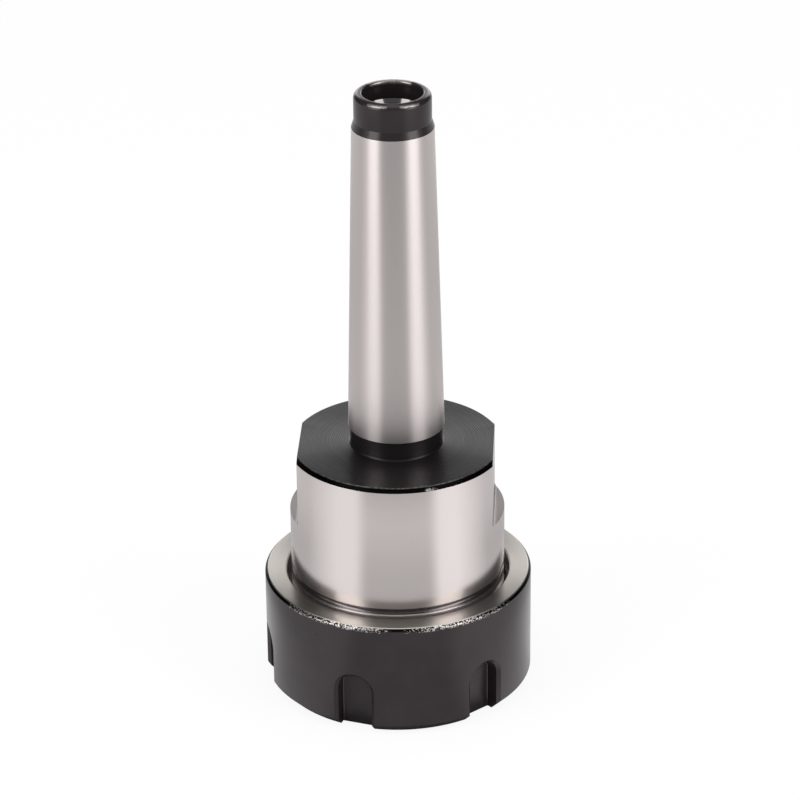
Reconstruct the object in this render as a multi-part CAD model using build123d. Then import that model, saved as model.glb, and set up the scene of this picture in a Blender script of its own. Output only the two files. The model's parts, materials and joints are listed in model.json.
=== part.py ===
from build123d import *
import os
from math import cos, hypot, radians, tan

# Collet chuck holder: a Morse taper arbor with a spring collet and its clamping nut.
# It stands on the nut's front face, shank up. The origin is the centre of that face,
# +Z runs up the axis to the drawbar end, and the spanner flats face -X and +X.
# All sizes are in millimetres.

# Clearances
SEAT_GAP = 0.05            # between each cone and the cone that seats in it
RIB_GAP = 0.3              # between the nut's extraction rib and the collet's front land
GROOVE_GAP = 0.2           # least gap between that rib and the floor of the collet's groove

# Clamping nut
NUT_WALL = 5.0             # from the thread's outside out to the nut's side
NUT_HEIGHT = 22.5
NUT_NOSE_CHAMFER = 2.0     # on the front edge, which is the lower one here
NUT_RIM_CHAMFER = 0.55     # on the edge of the face towards the body
NUT_MOUTH_CLEARANCE = 0.92  # radial gap between the mouth and the body
NUT_MOUTH_DEPTH = 3.3
NUT_MOUTH_CHAMFER = 0.25
NUT_OPENING_CHAMFER = 0.6
NUT_CHAMBER_LENGTH = 1.6   # room for the collet's shoulder, behind the rib
NUT_RELIEF_WIDTH = 1.8     # thread run-out at the bottom of the thread
NUT_RELIEF_DEPTH = 0.3
RIB_OFFSET = 0.6           # eccentricity, which lets the collet snap in at a tilt

# Spanner slots in the nut's side, open at the front
SLOT_COUNT = 6
SLOT_WIDTH = 6.6           # between the parallel walls
SLOT_HEIGHT = 11.6         # from the nut's front face to the top of the arch
SLOT_DEPTH = 3.3
SLOT_EDGE_CHAMFER = 0.65   # where the walls meet the nut's side
SLOT_TURN = 17.0           # from -Y to the nearest slot, in degrees towards -X

# Thread between nut and nose, drawn as its core and its outline
NOSE_WALL = 4.0            # from the socket's mouth out to the thread's outside
THREAD_PITCH = 1.5
THREAD_DEPTH = 0.6134 * THREAD_PITCH
THREAD_PLAY = 0.03
NOSE_CHAMFER = 1.2
NOSE_LAND_STEP = 0.05      # of the plain land behind the thread, below the thread's outside
NOSE_LAND_LENGTH = 1.5
NOSE_LAND_CHAMFER = 0.2
FOOT_GROOVE_DEPTH = 0.8    # turned between that land and the body, below the body's side
FOOT_GROOVE_WIDTH = 0.4

# Spring collet
COLLET_RECESS = 0.6        # front face of the collet behind the nut's front face
COLLET_LENGTH = 40.0
COLLET_DIAMETER = 33.0     # at the shoulder, where the long taper starts
COLLET_TAPER = 8.0         # degrees for each side
COLLET_REAR_CHAMFER = 0.8
FRONT_CONE_ANGLE = 30.0    # degrees for each side
FRONT_CONE_LENGTH = 4.0
FRONT_LAND_STEP = 0.7      # how far the front land lies below the shoulder
FRONT_LAND_LENGTH = 0.9
GROOVE_DEPTH = 1.9         # below the shoulder
GROOVE_WIDTH = 2.9
COLLET_BORE = 16.0
COLLET_BORE_CHAMFER = 0.6
SLIT_COUNT = 8             # from each end
SLIT_WIDTH = 0.9
SLIT_WEB = 4.5             # metal left uncut at the blind end of each slit

# Body of the arbor, as wide as the thread's outside
BODY_NUT_GAP = 0.9         # from the nut's rear face to the body's lower edge
BODY_FOOT_CHAMFER = 0.5
BODY_RIM_CHAMFER = 0.75
FLAT_DEPTH = 2.0           # of each spanner flat below the body's side
FLAT_LENGTH = 13.4
COLLAR_WALL = 6.7          # from the socket's floor to the collar face
SOCKET_MOUTH_STEP = 0.5    # how far the socket's mouth lies below the collet's shoulder
SOCKET_MOUTH_CHAMFER = 0.4
SOCKET_RUNOUT = 1.2        # depth of the socket behind the collet

# Morse taper shank
GAUGE_DIAMETER = 17.78
GAUGE_DISTANCE = 5.0       # from the collar face to the gauge plane
TAPER_RATIO = 1 / 20.02    # loss of diameter for each millimetre of length
SHANK_LENGTH = 69.0        # from the collar face to the end
NECK_DEPTH = 0.37          # below the foot of the taper
NECK_LENGTH = 3.7
NECK_FILLET = 0.4
SPIGOT_STEP = 0.454        # below the head of the taper
SPIGOT_LENGTH = 6.5        # from the end to the ground taper
SPIGOT_CHAMFER_LENGTH = 1.4
SPIGOT_RIM_RADIUS = 1.0

# Drawbar thread in the shank's end
DRAWBAR_RIM = 1.55         # wall left round the bore's guarded mouth
DRAWBAR_SHOULDER = 1.2     # from that mouth in to the tapping bore
DRAWBAR_MOUTH_DEPTH = 4.2
DRAWBAR_MOUTH_RADIUS = 0.35
DRAWBAR_CONE_ANGLE = 30.0  # degrees for each side
DRAWBAR_DEPTH = 30.0       # from the end to the bottom of the full bore
DRILL_POINT_ANGLE = 59.0   # degrees for each side, also on the socket's floor

# Heights along the axis, from the nut's front face up
collet_front = COLLET_RECESS
land_start = collet_front + FRONT_CONE_LENGTH
groove_start = land_start + FRONT_LAND_LENGTH
groove_end = groove_start + GROOVE_WIDTH
collet_rear = collet_front + COLLET_LENGTH
rib_start = groove_start + RIB_GAP
rib_end = groove_end - RIB_GAP
chamber_end = rib_end + NUT_CHAMBER_LENGTH
nut_thread_start = chamber_end + NUT_RELIEF_WIDTH
nut_thread_end = NUT_HEIGHT - NUT_MOUTH_DEPTH
body_foot = NUT_HEIGHT + BODY_NUT_GAP
socket_floor = collet_rear + SOCKET_RUNOUT
collar_face = socket_floor + COLLAR_WALL
flat_shoulder = collar_face - FLAT_LENGTH
gauge_plane = collar_face + GAUGE_DISTANCE
taper_foot = collar_face + NECK_LENGTH
shank_end = collar_face + SHANK_LENGTH
taper_head = shank_end - SPIGOT_LENGTH
spigot_start = taper_head + SPIGOT_CHAMFER_LENGTH

# Radii that follow from the sizes above, from the collet outwards
shoulder_radius = COLLET_DIAMETER / 2
land_radius = shoulder_radius - FRONT_LAND_STEP
groove_radius = shoulder_radius - GROOVE_DEPTH
rib_radius = groove_radius + GROOVE_GAP + RIB_OFFSET
socket_mouth = shoulder_radius - SOCKET_MOUTH_STEP
thread_radius = socket_mouth + NOSE_WALL
nose_core = thread_radius - THREAD_DEPTH - THREAD_PLAY
body_radius = thread_radius
nut_thread_bore = thread_radius + THREAD_PLAY
mouth_radius = body_radius + NUT_MOUTH_CLEARANCE
nut_radius = thread_radius + NUT_WALL


def collet_radius(height):
    """The collet's long taper at a height on the axis."""
    return shoulder_radius - (height - groove_end) * tan(radians(COLLET_TAPER))


def front_cone_radius(height):
    """The collet's front cone at a height on the axis."""
    return land_radius - (land_start - height) * tan(radians(FRONT_CONE_ANGLE))


def taper_radius(height):
    """The Morse taper at a height on the axis."""
    return (GAUGE_DIAMETER - (height - gauge_plane) * TAPER_RATIO) / 2


# Radial gaps that give the wanted clearance square to each cone
taper_gap = SEAT_GAP / cos(radians(COLLET_TAPER))
cone_gap = SEAT_GAP / cos(radians(FRONT_CONE_ANGLE))

# The socket's mouth lies where its cone has grown to the mouth's diameter
nose_face = groove_end + (SOCKET_MOUTH_STEP + taper_gap) / tan(radians(COLLET_TAPER))

# Radii of the shank, from its taper inwards
neck_radius = taper_radius(taper_foot) - NECK_DEPTH
spigot_radius = taper_radius(taper_head) - SPIGOT_STEP
drawbar_mouth = spigot_radius - DRAWBAR_RIM
drawbar_bore = drawbar_mouth - DRAWBAR_SHOULDER


def turned(points):
    """A solid turned from a closed outline of (radius, height) points."""
    outline = make_face(Polyline(*points, close=True))
    return revolve(Plane.XZ * outline, Axis.Z)


def circle_edges_at(solid, radius, height):
    """The round edges of a turned solid at one radius and height."""
    found = []
    for edge in solid.edges().filter_by(GeomType.CIRCLE):
        on_axis = abs(edge.arc_center.X) < 0.01 and abs(edge.arc_center.Y) < 0.01
        if on_axis and abs(edge.radius - radius) < 0.01 and abs(edge.arc_center.Z - height) < 0.01:
            found.append(edge)
    return found


def make_arbor():
    """Shank, collar, body and threaded nose, turned in one piece."""
    land = thread_radius - NOSE_LAND_STEP
    land_end = body_foot - FOOT_GROOVE_WIDTH
    land_begin = land_end - NOSE_LAND_LENGTH
    groove = body_radius - FOOT_GROOVE_DEPTH
    outside = [
        (0, nose_face),
        (nose_core - NOSE_CHAMFER, nose_face),
        (nose_core, nose_face + NOSE_CHAMFER),
        (nose_core, land_begin - (land - nose_core)),
        (land, land_begin),
        (land, land_end - NOSE_LAND_CHAMFER),
        (land - NOSE_LAND_CHAMFER, land_end),
        (groove, land_end),
        (groove, body_foot),
        (body_radius - BODY_FOOT_CHAMFER, body_foot),
        (body_radius, body_foot + BODY_FOOT_CHAMFER),
        (body_radius, collar_face - BODY_RIM_CHAMFER),
        (body_radius - BODY_RIM_CHAMFER, collar_face),
        (neck_radius, collar_face),
        (neck_radius, taper_foot),
        (taper_radius(taper_foot), taper_foot),
        (taper_radius(taper_head), taper_head),
        (spigot_radius, spigot_start),
        (spigot_radius, shank_end),
        (0, shank_end),
    ]
    arbor = turned(outside)
    arbor = fillet(circle_edges_at(arbor, neck_radius, collar_face), NECK_FILLET)
    arbor = fillet(circle_edges_at(arbor, spigot_radius, shank_end), SPIGOT_RIM_RADIUS)
    arbor -= make_socket()
    arbor -= make_drawbar_bore()
    arbor = fillet(circle_edges_at(arbor, drawbar_mouth, shank_end), DRAWBAR_MOUTH_RADIUS)
    return arbor - make_flats()


def make_socket():
    """The space for the collet: mouth chamfer, long cone and drilled floor."""
    mouth = socket_mouth
    rear_radius = collet_radius(socket_floor) + taper_gap
    slope = tan(radians(COLLET_TAPER))
    chamfer = SOCKET_MOUTH_CHAMFER
    return turned([
        (0, nose_face - 1),
        (mouth + chamfer + 1, nose_face - 1),
        (mouth + chamfer, nose_face),
        (mouth - chamfer * slope, nose_face + chamfer),
        (rear_radius, socket_floor),
        (0, socket_floor + rear_radius / tan(radians(DRILL_POINT_ANGLE))),
    ])


def make_drawbar_bore():
    """The drawbar's blind bore, with its drill point, centre cone and guarded mouth."""
    floor = shank_end - DRAWBAR_DEPTH
    cone_start = shank_end - DRAWBAR_MOUTH_DEPTH
    cone_end = cone_start - DRAWBAR_SHOULDER / tan(radians(DRAWBAR_CONE_ANGLE))
    return turned([
        (0, floor - drawbar_bore / tan(radians(DRILL_POINT_ANGLE))),
        (drawbar_bore, floor),
        (drawbar_bore, cone_end),
        (drawbar_mouth, cone_start),
        (drawbar_mouth, shank_end + 1),
        (0, shank_end + 1),
    ])


def make_flats():
    """The two blocks of metal milled away for the spanner flats."""
    reach = 2 * body_radius
    block = Box(reach, reach, 2 * FLAT_LENGTH)
    offset = body_radius - FLAT_DEPTH + reach / 2
    return Pos(offset, 0, collar_face) * block + Pos(-offset, 0, collar_face) * block


def make_clamping_nut():
    """The nut: turned inside and out, with an eccentric rib and six spanner slots."""
    blank = turned([
        (0, 0),
        (nut_radius - NUT_NOSE_CHAMFER, 0),
        (nut_radius, NUT_NOSE_CHAMFER),
        (nut_radius, NUT_HEIGHT - NUT_RIM_CHAMFER),
        (nut_radius - NUT_RIM_CHAMFER, NUT_HEIGHT),
        (0, NUT_HEIGHT),
    ])
    nut = blank - make_nut_front() - make_nut_rear()
    rib_bore = Circle(rib_radius)
    nut -= Pos(RIB_OFFSET, 0, rib_start) * extrude(rib_bore, rib_end - rib_start + NUT_CHAMBER_LENGTH / 2)
    nut -= make_spanner_slots()
    return chamfer(slot_edges(nut), SLOT_EDGE_CHAMFER)


def slot_edges(nut):
    """Edges where the slots' walls and arches meet the nut's side."""
    found = []
    for edge in nut.edges():
        middle = edge @ 0.5
        ends = [edge @ 0, edge @ 1]
        on_side = all(abs(hypot(point.X, point.Y) - nut_radius) < 0.01 for point in [middle, *ends])
        level = max(point.Z for point in [middle, *ends]) - min(point.Z for point in [middle, *ends]) < 0.01
        if on_side and not level and middle.Z < SLOT_HEIGHT + 0.01:
            found.append(edge)
    return found


def make_nut_front():
    """The opening and cone that close the collet, up to the extraction rib."""
    opening = front_cone_radius(0) + cone_gap
    seat = front_cone_radius(land_start) + cone_gap
    chamfer = NUT_OPENING_CHAMFER
    at_chamfer = opening + chamfer * tan(radians(FRONT_CONE_ANGLE))
    return turned([
        (0, -1),
        (at_chamfer + chamfer + 1, -1),
        (at_chamfer + chamfer, 0),
        (at_chamfer, chamfer),
        (seat, land_start),
        (seat, rib_start),
        (0, rib_start),
    ])


def make_nut_rear():
    """The chamber behind the rib, the thread with its run-out, and the mouth."""
    chamber = shoulder_radius + GROOVE_GAP + RIB_OFFSET
    relief = nut_thread_bore + NUT_RELIEF_DEPTH
    chamfer = NUT_MOUTH_CHAMFER
    return turned([
        (0, rib_end),
        (chamber, rib_end),
        (chamber, chamber_end),
        (relief, chamber_end),
        (relief, nut_thread_start),
        (nut_thread_bore, nut_thread_start + NUT_RELIEF_DEPTH),
        (nut_thread_bore, nut_thread_end),
        (mouth_radius, nut_thread_end + mouth_radius - nut_thread_bore),
        (mouth_radius, NUT_HEIGHT - chamfer),
        (mouth_radius + chamfer, NUT_HEIGHT),
        (mouth_radius + chamfer, NUT_HEIGHT + 1),
        (0, NUT_HEIGHT + 1),
    ])


def make_spanner_slots():
    """Arched slots milled square to the side, spaced evenly round the nut."""
    arch = SLOT_WIDTH / 2
    floor = nut_radius - SLOT_DEPTH
    outline = Pos(0, SLOT_HEIGHT - arch) * Circle(arch)
    outline += Pos(0, (SLOT_HEIGHT - arch) / 2 - 1) * Rectangle(SLOT_WIDTH, SLOT_HEIGHT - arch + 2)
    cutter = extrude(Plane.XZ.offset(floor) * outline, SLOT_DEPTH + 2)
    turn = 360 / SLOT_COUNT
    return [Rot(0, 0, -SLOT_TURN + turn * index) * cutter for index in range(SLOT_COUNT)]


def make_spring_collet():
    """The collet: turned, bored, then slit from both ends in turn."""
    bore = COLLET_BORE / 2
    chamfer = COLLET_BORE_CHAMFER
    rear = collet_radius(collet_rear)
    collet = turned([
        (bore + chamfer, collet_front),
        (front_cone_radius(collet_front), collet_front),
        (land_radius, land_start),
        (land_radius, groove_start),
        (groove_radius, groove_start),
        (groove_radius, groove_end),
        (shoulder_radius, groove_end),
        (collet_radius(collet_rear - COLLET_REAR_CHAMFER), collet_rear - COLLET_REAR_CHAMFER),
        (rear - COLLET_REAR_CHAMFER, collet_rear),
        (bore + chamfer, collet_rear),
        (bore, collet_rear - chamfer),
        (bore, collet_front + chamfer),
    ])
    return collet - make_slits()


def make_slits():
    """Thin radial cuts, every other one from the front and the rest from the rear."""
    reach = COLLET_DIAMETER
    length = COLLET_LENGTH - SLIT_WEB
    slit = Box(reach, SLIT_WIDTH, length + 1, align=(Align.MIN, Align.CENTER, Align.MIN))
    turn = 360 / SLIT_COUNT
    cuts = []
    for index in range(SLIT_COUNT):
        cuts.append(Rot(0, 0, turn * index) * Pos(0, 0, collet_front - 1) * slit)
        cuts.append(Rot(0, 0, turn * (index + 0.5)) * Pos(0, 0, collet_front + SLIT_WEB) * slit)
    return cuts


parts = {
    "arbor": make_arbor(),
    "clamping_nut": make_clamping_nut(),
    "spring_collet": make_spring_collet(),
}

os.makedirs("parts", exist_ok=True)
for name, part in parts.items():
    export_step(part, f"parts/{name}.step")
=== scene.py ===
import json
import math

import bpy
from bpy.props import FloatProperty, FloatVectorProperty, IntProperty, PointerProperty
from mathutils import Matrix, Vector


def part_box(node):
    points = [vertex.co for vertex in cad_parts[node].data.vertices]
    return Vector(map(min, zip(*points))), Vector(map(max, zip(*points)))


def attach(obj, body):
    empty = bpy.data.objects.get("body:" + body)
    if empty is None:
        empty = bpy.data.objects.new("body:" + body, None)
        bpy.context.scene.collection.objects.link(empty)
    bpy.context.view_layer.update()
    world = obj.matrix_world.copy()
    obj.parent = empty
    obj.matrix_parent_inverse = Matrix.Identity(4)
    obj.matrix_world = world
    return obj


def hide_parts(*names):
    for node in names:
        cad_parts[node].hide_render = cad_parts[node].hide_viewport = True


bl_info = {
    "name": "Collet Chuck Holder",
    "version": (1, 0, 0),
    "blender": (4, 5, 0),
    "location": "3D View > Sidebar > Chuck",
    "description": "Dresses a taper shank collet chuck with ground and blackened surfaces",
    "category": "Object",
}

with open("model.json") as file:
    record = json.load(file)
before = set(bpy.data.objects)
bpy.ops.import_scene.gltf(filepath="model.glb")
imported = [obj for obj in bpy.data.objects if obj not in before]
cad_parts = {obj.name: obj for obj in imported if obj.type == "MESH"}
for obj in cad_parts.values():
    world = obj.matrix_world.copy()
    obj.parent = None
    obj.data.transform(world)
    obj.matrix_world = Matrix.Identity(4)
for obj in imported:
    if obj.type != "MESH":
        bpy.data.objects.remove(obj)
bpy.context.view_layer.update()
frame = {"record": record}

MM = 0.001
# Length along the Morse taper for one unit of its diameter
TAPER_RATE = 20.02
# Half angles of a drill's point, of the drawbar bore's cone and of a metric thread
DRILL_POINT = math.radians(59)
BORE_CONE = math.radians(30)
THREAD_FLANK = math.radians(30)
# Rounding of an edge that is only broken with a stone
BROKEN_EDGE = 0.1 * MM
WHITE = (1, 1, 1)
# Near black, painted over chamfers as painted shade
PAINTED_SHADE_BLACK = (0.004, 0.004, 0.004)
arbor_low, arbor_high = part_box("arbor")
nut_low, nut_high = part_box("clamping_nut")
collet_low, collet_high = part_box("spring_collet")
mounts = {mount["name"]: mount for mount in frame["record"]["mounts"]}
gauge_plane = mounts["taper_shank"]["pos_m"][2]


def length(name, description, default):
    """A length that a user may change, in metres."""
    return FloatProperty(name=name, description=description, default=default,
                         subtype="DISTANCE", unit="LENGTH", precision=5)


def angle(name, description, default):
    """An angle that a user may change, given here in degrees."""
    return FloatProperty(name=name, description=description, default=math.radians(default),
                         subtype="ANGLE", unit="ROTATION")


def colour(name, description, default):
    """A linear colour that a user may change."""
    return FloatVectorProperty(name=name, description=description, default=default,
                               subtype="COLOR", size=3, min=0, max=1)


class ChuckArborSizes(bpy.types.PropertyGroup):
    """Sizes of the turned arbor, from its drawbar end down to its nose"""
    end: length("End", "Height of the drawbar end", arbor_high.z)
    nose: length("Nose face", "Height of the threaded nose's face", arbor_low.z)
    body_radius: length("Body radius", "Radius of the ground body", arbor_high.y)
    body_foot: length("Body foot", "Height of the body's lower edge", nut_high.z + 0.9 * MM)
    foot_chamfer: length("Foot chamfer", "Chamfer on the body's lower edge", 0.5 * MM)
    foot_groove: length("Foot groove", "Depth of the groove under the body", 0.8 * MM)
    groove_width: length("Groove width", "Width of the groove under the body", 0.8 * MM)
    land_length: length("Land length", "Length of the plain land behind the thread", 1.1 * MM)
    land_step: length("Land step", "How far that land lies below the thread's outside", 0.05 * MM)
    collar: length("Collar face", "Height of the collar face", gauge_plane - 5 * MM)
    rim_chamfer: length("Rim chamfer", "Chamfer round the collar face", 0.75 * MM)
    flat_depth: length("Flat depth", "Depth of each spanner flat", 2.0 * MM)
    flat_length: length("Flat length", "Length of the flats from the collar down", 13.4 * MM)
    gauge_radius: length("Gauge radius", "Radius of the taper at its gauge plane", 8.89 * MM)
    neck_depth: length("Neck depth", "Depth of the neck below the taper's foot", 0.37 * MM)
    neck_length: length("Neck length", "Length of the neck above the collar", 3.7 * MM)
    spigot_step: length("Spigot step", "Depth of the spigot below the taper's head", 0.454 * MM)
    spigot_length: length("Spigot length", "From the taper's head to the end", 6.5 * MM)
    spigot_chamfer: length("Spigot chamfer", "Length of the chamfer at the taper's head", 1.4 * MM)
    rim_radius: length("Rim radius", "Rounding of the spigot's rim", 1.0 * MM)
    mouth_wall: length("Mouth wall", "Wall round the bore's guarded mouth", 1.55 * MM)
    mouth_depth: length("Mouth depth", "Depth of the guarded mouth", 3.3 * MM)
    bore_shoulder: length("Bore shoulder", "From the mouth in to the tapping bore", 1.2 * MM)
    bore_depth: length("Bore depth", "Depth of the tapping bore", 30.0 * MM)
    socket_floor: length("Socket floor", "Height of the socket's floor", collet_high.z + 1.2 * MM)
    socket_mouth: length("Socket mouth", "Radius of the socket's mouth", collet_high.x - 0.5 * MM)


class ChuckNutSizes(bpy.types.PropertyGroup):
    """Sizes of the clamping nut"""
    radius: length("Radius", "Radius of the nut's side", nut_high.x)
    height: length("Height", "Height of the nut", nut_high.z)
    front_chamfer: length("Front chamfer", "Chamfer on the front edge", 2.0 * MM)
    rim_chamfer: length("Rim chamfer", "Chamfer on the rear edge", 0.55 * MM)
    mouth_clearance: length("Mouth clearance", "Radial gap from the body to the mouth", 0.92 * MM)
    mouth_depth: length("Mouth depth", "Depth of the mouth above the thread", 3.3 * MM)
    rib_offset: length("Rib offset", "Eccentricity of the extraction rib", 0.6 * MM)
    rib_gap: length("Rib gap", "Gap along the axis between the rib and its groove", 0.3 * MM)
    groove_gap: length("Groove gap", "Radial gap between the nut and the collet", 0.2 * MM)
    seat_chamfer: length("Seat chamfer", "Chamfer on the seat's front edge", 0.6 * MM)
    run_out: length("Run-out", "Length of the groove where the thread runs out", 1.8 * MM)
    chamber: length("Chamber", "Room behind the rib for the collet's shoulder", 1.6 * MM)
    slot_width: length("Slot width", "Width between each spanner slot's walls", 6.6 * MM)
    slot_height: length("Slot height", "From the front face to the top of the arch", 11.6 * MM)
    slot_depth: length("Slot depth", "Depth of each spanner slot", 3.3 * MM)
    slot_lip: length("Slot lip", "Chamfered edge round each slot", 0.65 * MM)
    slot_corner: length("Slot corner", "Rounding along the floor's corners", 0.25 * MM)
    slot_turn: angle("Slot turn", "Turn of the nearest slot towards -X", 17.0)
    slots: IntProperty(name="Slots", description="Number of spanner slots", default=6, min=1)


class ChuckColletSizes(bpy.types.PropertyGroup):
    """Sizes of the slit spring collet"""
    front: length("Front", "Height of the collet's front face", collet_low.z)
    rear: length("Rear", "Height of the collet's rear face", collet_high.z)
    shoulder: length("Shoulder", "Radius where the long taper starts", 16.5 * MM)
    taper: angle("Taper", "Slope of each side of the long taper", 8.0)
    cone: angle("Front cone", "Slope of each side of the front cone", 30.0)
    cone_length: length("Cone length", "Length of the front cone", 4.0 * MM)
    land_step: length("Land step", "How far the front land lies below the shoulder", 0.7 * MM)
    land_length: length("Land length", "Length of the front land", 0.9 * MM)
    groove_depth: length("Groove depth", "Depth of the extraction groove", 1.9 * MM)
    groove_width: length("Groove width", "Width of the extraction groove", 2.9 * MM)
    bore: length("Bore", "Radius of the bore that grips the tool", 8.0 * MM)
    slits: IntProperty(name="Slits", description="Number of slits from each end", default=8, min=2)
    slit_width: length("Slit width", "Width of each slit", 0.9 * MM)
    slit_web: length("Slit web", "Metal left at each slit's blind end", 4.5 * MM)
    seat_gap: length("Seat gap", "Clearance between seated cones", 0.05 * MM)
    chamfer: length("Chamfer", "Chamfer at both ends of the bore", 0.6 * MM)
    rear_chamfer: length("Rear chamfer", "Chamfer on the rear edge", 0.8 * MM)


class ChuckThreadSizes(bpy.types.PropertyGroup):
    """Sizes of the threads on nose, nut and drawbar bore"""
    pitch: length("Pitch", "Pitch of both threads", 1.5 * MM)
    play: length("Play", "Play between nut and nose", 0.03 * MM)
    drawbar_radius: length("Drawbar radius", "Outside radius of the drawbar thread", 5.0 * MM)
    drawbar_length: length("Drawbar length", "Depth of the drawbar thread from the end", 24.0 * MM)


class ChuckFinishColours(bpy.types.PropertyGroup):
    """Colours of the chuck's finishes and of the studio"""
    ground: colour("Ground steel", "Bare ground steel", (0.785, 0.722, 0.712))
    black: colour("Black oxide", "Blackened steel", (0.041, 0.034, 0.037))
    faced: colour("Faced steel", "Turned rear face of the nut", (0.47, 0.44, 0.41))
    # Also the colour of painted highlights, besides bare steel where the black has rubbed off
    wear_and_highlight: colour("Worn steel", "Bare steel where the black has rubbed off", (0.66, 0.63, 0.59))
    backdrop: colour("Backdrop", "Floor and background", (0.93, 0.93, 0.93))


def rounded(corners, steps=4):
    """Points of an outline of corners (radius, height, rounding), with each rounding as an arc."""
    points = []
    for index, (radius, height, rounding) in enumerate(corners):
        here = Vector((radius, height))
        if rounding == 0:
            points.append(here)
            continue
        to_last = (Vector(corners[index - 1][:2]) - here).normalized()
        to_next = (Vector(corners[(index + 1) % len(corners)][:2]) - here).normalized()
        half = to_last.angle(to_next) / 2
        centre = here + (to_last + to_next).normalized() * rounding / math.sin(half)
        start = here + to_last * rounding / math.tan(half) - centre
        end = here + to_next * rounding / math.tan(half) - centre
        sweep = math.pi - 2 * half
        for step in range(steps + 1):
            share = step / steps
            arm = start * math.sin((1 - share) * sweep) + end * math.sin(share * sweep)
            points.append(centre + arm / math.sin(sweep))
    return points


def edge_points(piece, edge):
    """The two ends of an edge."""
    return [piece.data.vertices[index].co for index in edge.vertices]


def start_clean():
    """Leaves edit mode and deselects everything, so that an operator acts on its own piece."""
    if bpy.context.object and bpy.context.object.mode != "OBJECT":
        bpy.ops.object.mode_set(mode="OBJECT")
    bpy.ops.object.select_all(action="DESELECT")


def pick(piece):
    """Makes one piece the only selected and active object."""
    start_clean()
    piece.select_set(True)
    bpy.context.view_layer.objects.active = piece


def apply_place(piece, name):
    """Puts a new piece's place into its mesh and names it."""
    bpy.ops.object.transform_apply(location=True, rotation=True, scale=True)
    piece.name = name
    piece.data.name = name


def select_parts(piece, kind, chosen):
    """Selects the edges or faces that a test picks, and leaves the piece in edit mode."""
    bpy.ops.object.mode_set(mode="EDIT")
    bpy.ops.mesh.select_mode(type=kind)
    bpy.ops.mesh.select_all(action="DESELECT")
    bpy.ops.object.mode_set(mode="OBJECT")
    for part in piece.data.edges if kind == "EDGE" else piece.data.polygons:
        part.select = chosen(part)
    bpy.ops.object.mode_set(mode="EDIT")


def face_outwards():
    """Turns every face of the piece in edit mode outwards and leaves edit mode."""
    bpy.ops.mesh.select_all(action="SELECT")
    bpy.ops.mesh.normals_make_consistent(inside=False)
    bpy.ops.object.mode_set(mode="OBJECT")


def turn_piece(name, outline, segments, closed):
    """Turns an outline round the axis: a ring is extruded, resized and raised to each point in turn.

    An open outline starts and ends on the axis."""
    start_clean()
    first = outline[0] if closed else outline[1]
    fill = "NOTHING" if closed else "TRIFAN"
    bpy.ops.mesh.primitive_circle_add(vertices=segments, radius=first.x, fill_type=fill,
                                      location=(0, 0, first.y))
    piece = bpy.context.object
    apply_place(piece, name)
    if not closed:
        pole = min(piece.data.vertices, key=lambda vertex: vertex.co.xy.length)
        pole.co.z = outline[0].y
    rim = [vertex.index for vertex in piece.data.vertices if vertex.co.xy.length > first.x / 2]
    select_parts(piece, "EDGE", lambda edge: edge.vertices[0] in rim and edge.vertices[1] in rim)
    rings = outline + outline[:1] if closed else outline[1:]
    for last, point in zip(rings, rings[1:]):
        size = point.x / last.x
        bpy.ops.mesh.extrude_region()
        bpy.ops.transform.resize(value=(size, size, 1), center_override=(0, 0, 0))
        bpy.ops.transform.translate(value=(0, 0, point.y - last.y))
    bpy.ops.mesh.select_all(action="SELECT")
    bpy.ops.mesh.remove_doubles(threshold=0.001 * MM)
    face_outwards()
    return piece


def cut_away(piece, cutter):
    """Cuts one solid out of another and removes the cutter."""
    pick(piece)
    modifier = piece.modifiers.new("Cut", "BOOLEAN")
    modifier.operation = "DIFFERENCE"
    modifier.solver = "EXACT"
    modifier.object = cutter
    bpy.ops.object.modifier_apply(modifier=modifier.name)
    bpy.data.objects.remove(cutter)


def round_copies(cutter, count, first=0.0):
    """Copies a cutter round the axis and joins the copies into one object."""
    copies = []
    for index in range(count):
        copy = cutter.copy()
        copy.data = cutter.data.copy()
        copy.data.transform(Matrix.Rotation(first + 2 * math.pi * index / count, 4, "Z"))
        bpy.context.scene.collection.objects.link(copy)
        copies.append(copy)
    bpy.data.objects.remove(cutter)
    start_clean()
    for copy in copies:
        copy.select_set(True)
    bpy.context.view_layer.objects.active = copies[0]
    bpy.ops.object.join()
    return copies[0]


def smooth(piece, limit=28):
    """Shades a piece smooth across all but its sharp edges."""
    pick(piece)
    bpy.ops.object.shade_smooth_by_angle(angle=math.radians(limit))


def finish_piece(piece, body, node, finishes, zone=None):
    """Gives each face the finish that the zone names, and puts the piece in the node's stead."""
    names = list(finishes)
    for finish in finishes.values():
        piece.data.materials.append(finish)
    if zone:
        for face in piece.data.polygons:
            face.material_index = names.index(zone(face.center, face.normal))
    smooth(piece)
    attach(piece, body)
    if node:
        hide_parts(node)


class Signal:
    """An output socket that Python's operators turn into Math nodes."""

    def __init__(self, finish, socket):
        self.finish = finish
        self.socket = socket

    def math(self, operation, *others):
        return self.finish.add("Math", {"operation": operation}, dict(enumerate((self, *others))))

    def __add__(self, other):
        return self.math("ADD", other)

    def __sub__(self, other):
        return self.math("SUBTRACT", other)

    def __mul__(self, other):
        return self.math("MULTIPLY", other)

    def __truediv__(self, other):
        return self.math("DIVIDE", other)

    def __rsub__(self, other):
        return self.finish.add("Math", {"operation": "SUBTRACT"}, {0: other, 1: self})

    __radd__ = __add__
    __rmul__ = __mul__

    def most(self, other):
        return self.math("MAXIMUM", other)

    def step(self, low, high):
        """0 below low and 1 above high, with an even slope between."""
        inputs = {"Value": self, "From Min": low, "From Max": high}
        return self.finish.add("MapRange", {"clamp": True}, inputs)

    def stepped(self, start, changes):
        """A value that starts at one level and changes over each stretch of this signal."""
        total = start
        for low, high, change in changes:
            total = total + self.step(low, high) * change
        return total


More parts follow.
